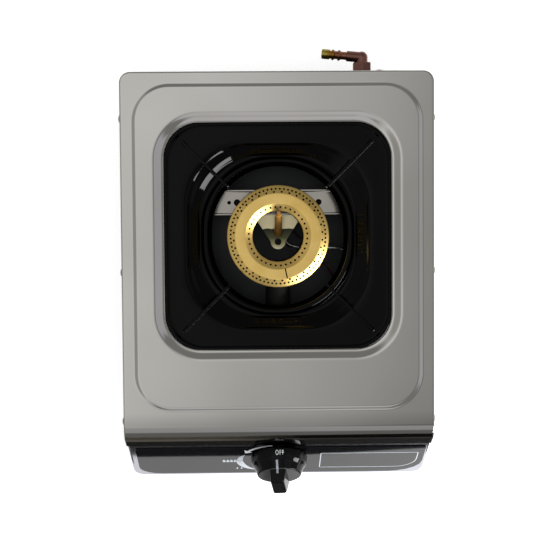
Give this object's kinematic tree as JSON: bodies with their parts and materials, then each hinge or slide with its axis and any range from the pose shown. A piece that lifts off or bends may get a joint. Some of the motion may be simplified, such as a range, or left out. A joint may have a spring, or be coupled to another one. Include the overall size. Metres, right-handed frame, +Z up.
{
  "type": "gas hob",
  "caption": "Table-top gas hob: slanted front with a push-and-turn knob, square well with a lift-out drip pan and pan supports, ring burner with pilot, hose inlet at the rear.",
  "frame": {"origin": "bottom centre of the box round the whole hob, on the table under it", "axes": "+Z up, -Y towards the knob at the front, +X to the right seen from the front"},
  "size_m": [0.3034, 0.4412, 0.112],
  "materials": {
    "stainless_steel": "satin",
    "zinc_plated_steel": "satin",
    "black_enamel": "gloss",
    "brass": "satin",
    "cast_iron": "rough",
    "black_plastic": "gloss",
    "grey_overlay": "gloss",
    "black_rubber": "matte",
    "white_ceramic": "satin",
    "dark_red_silicone": "satin",
    "die_cast_aluminium": "satin",
    "yellow_passivated_brass": "satin"
  },
  "bodies": {
    "case": {"top_plate": "stainless_steel", "front_panel": "stainless_steel", "pilot_bracket": "stainless_steel", "base_tray": "zinc_plated_steel", "burner_bracket": "zinc_plated_steel", "tap_cover": "zinc_plated_steel", "tap_spring": "zinc_plated_steel", "inlet_locknut": "zinc_plated_steel", "supply_pipe": "zinc_plated_steel", "electrode_pin": "zinc_plated_steel", "side_screw_left_front": "zinc_plated_steel", "side_screw_left_middle": "zinc_plated_steel", "side_screw_left_rear": "zinc_plated_steel", "side_screw_right_front": "zinc_plated_steel", "side_screw_right_middle": "zinc_plated_steel", "side_screw_right_rear": "zinc_plated_steel", "rear_screw": "zinc_plated_steel", "bracket_screw_left": "zinc_plated_steel", "bracket_screw_right": "zinc_plated_steel", "panel_screw_left": "zinc_plated_steel", "panel_screw_right": "zinc_plated_steel", "burner_screw_left": "zinc_plated_steel", "burner_screw_right": "zinc_plated_steel", "tap_screw_left": "zinc_plated_steel", "tap_screw_right": "zinc_plated_steel", "pilot_nozzle": "brass", "main_jet": "brass", "burner_body": "cast_iron", "igniter_unit": "black_plastic", "panel_overlay": "grey_overlay", "inlet_washer": "black_rubber", "foot_front_left": "black_rubber", "foot_front_right": "black_rubber", "foot_rear_left": "black_rubber", "foot_rear_right": "black_rubber", "electrode_ceramic": "white_ceramic", "ignition_lead": "dark_red_silicone", "tap_body": "die_cast_aluminium", "pilot_tube": "die_cast_aluminium", "inlet_elbow": "yellow_passivated_brass"},
    "pan": {"drip_pan": "black_enamel", "pan_support_rear_left": "black_enamel", "pan_support_rear_right": "black_enamel", "pan_support_front_left": "black_enamel", "pan_support_front_right": "black_enamel"},
    "cap": {"burner_cap": "brass"},
    "shutter": {"air_shutter": "zinc_plated_steel"},
    "push": {"push_collar": "zinc_plated_steel"},
    "knob": {"knob": "black_plastic", "knob_clip": "zinc_plated_steel", "tap_spindle": "brass", "tap_plug": "brass"},
    "hammer": {"igniter_hammer": "zinc_plated_steel"}
  },
  "joints": [
    {"name": "knob_push", "type": "slide", "parent": "case", "child": "push", "axis": [0, 0.848, -0.5299], "range_m": [0, 0.003], "stiffness_N_per_m": 1200, "springref_m": -0.004, "deforming": ["tap_spring"]},
    {"name": "knob_turn", "type": "hinge", "parent": "push", "child": "knob", "pos_m": [0, -0.18162, 0.058], "axis": [0, -0.848, 0.5299], "range_deg": [-6, 144]},
    {"name": "pan_lift", "type": "slide", "parent": "case", "child": "pan", "axis": [0, 0, 1], "range_m": [0, 0.08]},
    {"name": "cap_lift", "type": "slide", "parent": "case", "child": "cap", "axis": [0, 0, 1], "range_m": [0, 0.06]},
    {"name": "shutter_turn", "type": "hinge", "parent": "case", "child": "shutter", "pos_m": [0, -0.00368, 0.075], "axis": [0, -0.9781, -0.2079], "range_deg": [0, 70]},
    {"name": "hammer_slide", "type": "slide", "parent": "case", "child": "hammer", "axis": [0, 0.848, -0.5299], "range_m": [0, 0.005], "stiffness_N_per_m": 600, "springref_m": -0.003}
  ]
}
